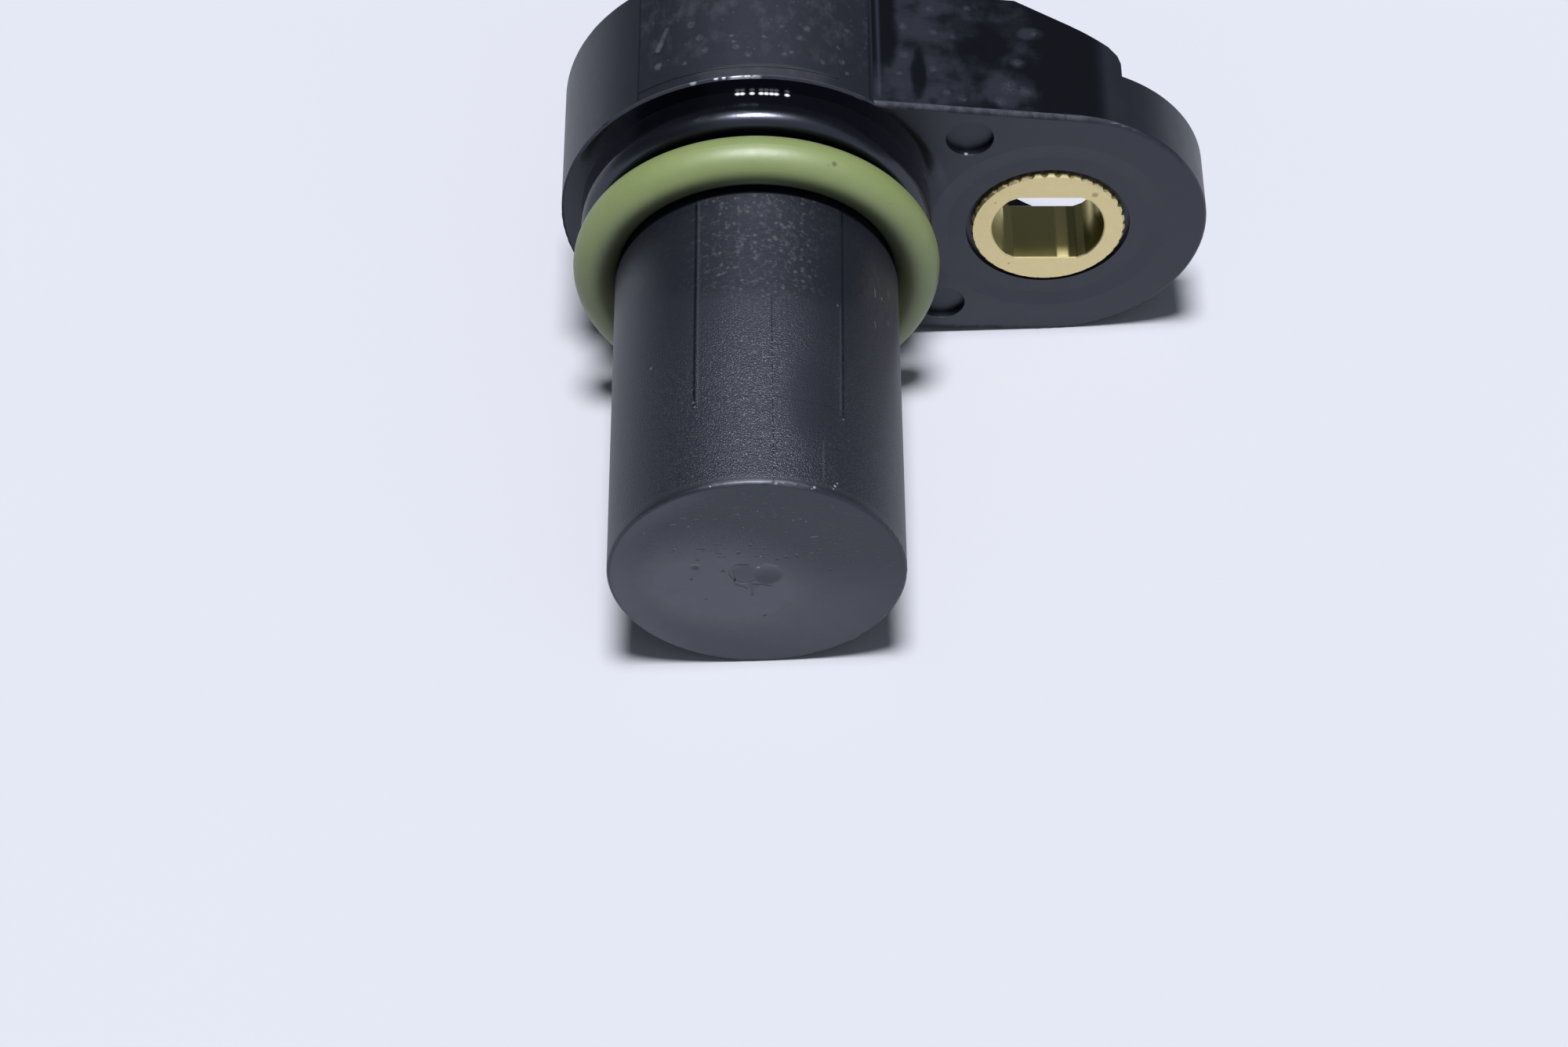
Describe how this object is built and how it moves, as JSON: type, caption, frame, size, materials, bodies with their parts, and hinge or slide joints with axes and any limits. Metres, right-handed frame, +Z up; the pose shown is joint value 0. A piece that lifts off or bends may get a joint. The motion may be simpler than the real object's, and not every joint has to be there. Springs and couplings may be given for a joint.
{
  "type": "camshaft position sensor",
  "caption": "Round-probe camshaft position sensor with a green O-ring, a round head, a single fixing ear with a two-flat brass bush, and a plain rear connector socket.",
  "frame": {"origin": "on the probe axis, in the plane of the head's seating face", "axes": "-Y along the probe towards its tip, +X from the probe axis to the fixing bush, +Z up"},
  "size_m": [0.0419, 0.056, 0.0252],
  "materials": {
    "housing_plastic": "moulded glass-filled black plastic: fine spark-eroded grain on the probe, glossy shoulder, smooth tip and ear",
    "seal_rubber": "soft satin olive-green rubber",
    "bush_brass": "matt turned brass",
    "carrier_plastic": "moulded plastic",
    "chip_body": "moulded epoxy",
    "soft_iron": "rolled",
    "magnet": "sintered, ground ends",
    "tinned_lead": "tinned",
    "tinned_bronze": "tinned",
    "capacitor_ceramic": "fired ceramic"
  },
  "bodies": {
    "root": {"housing": "housing_plastic", "o_ring": "seal_rubber", "mounting_bush": "bush_brass", "sensor_carrier": "carrier_plastic", "hall_chip": "chip_body", "pole_plate": "soft_iron", "bias_magnet": "magnet", "chip_lead_supply": "tinned_lead", "chip_lead_signal": "tinned_lead", "chip_lead_ground": "tinned_lead", "terminal_supply": "tinned_bronze", "terminal_signal": "tinned_bronze", "terminal_ground": "tinned_bronze", "capacitor_supply": "capacitor_ceramic", "capacitor_signal": "capacitor_ceramic"}
  },
  "joints": []
}
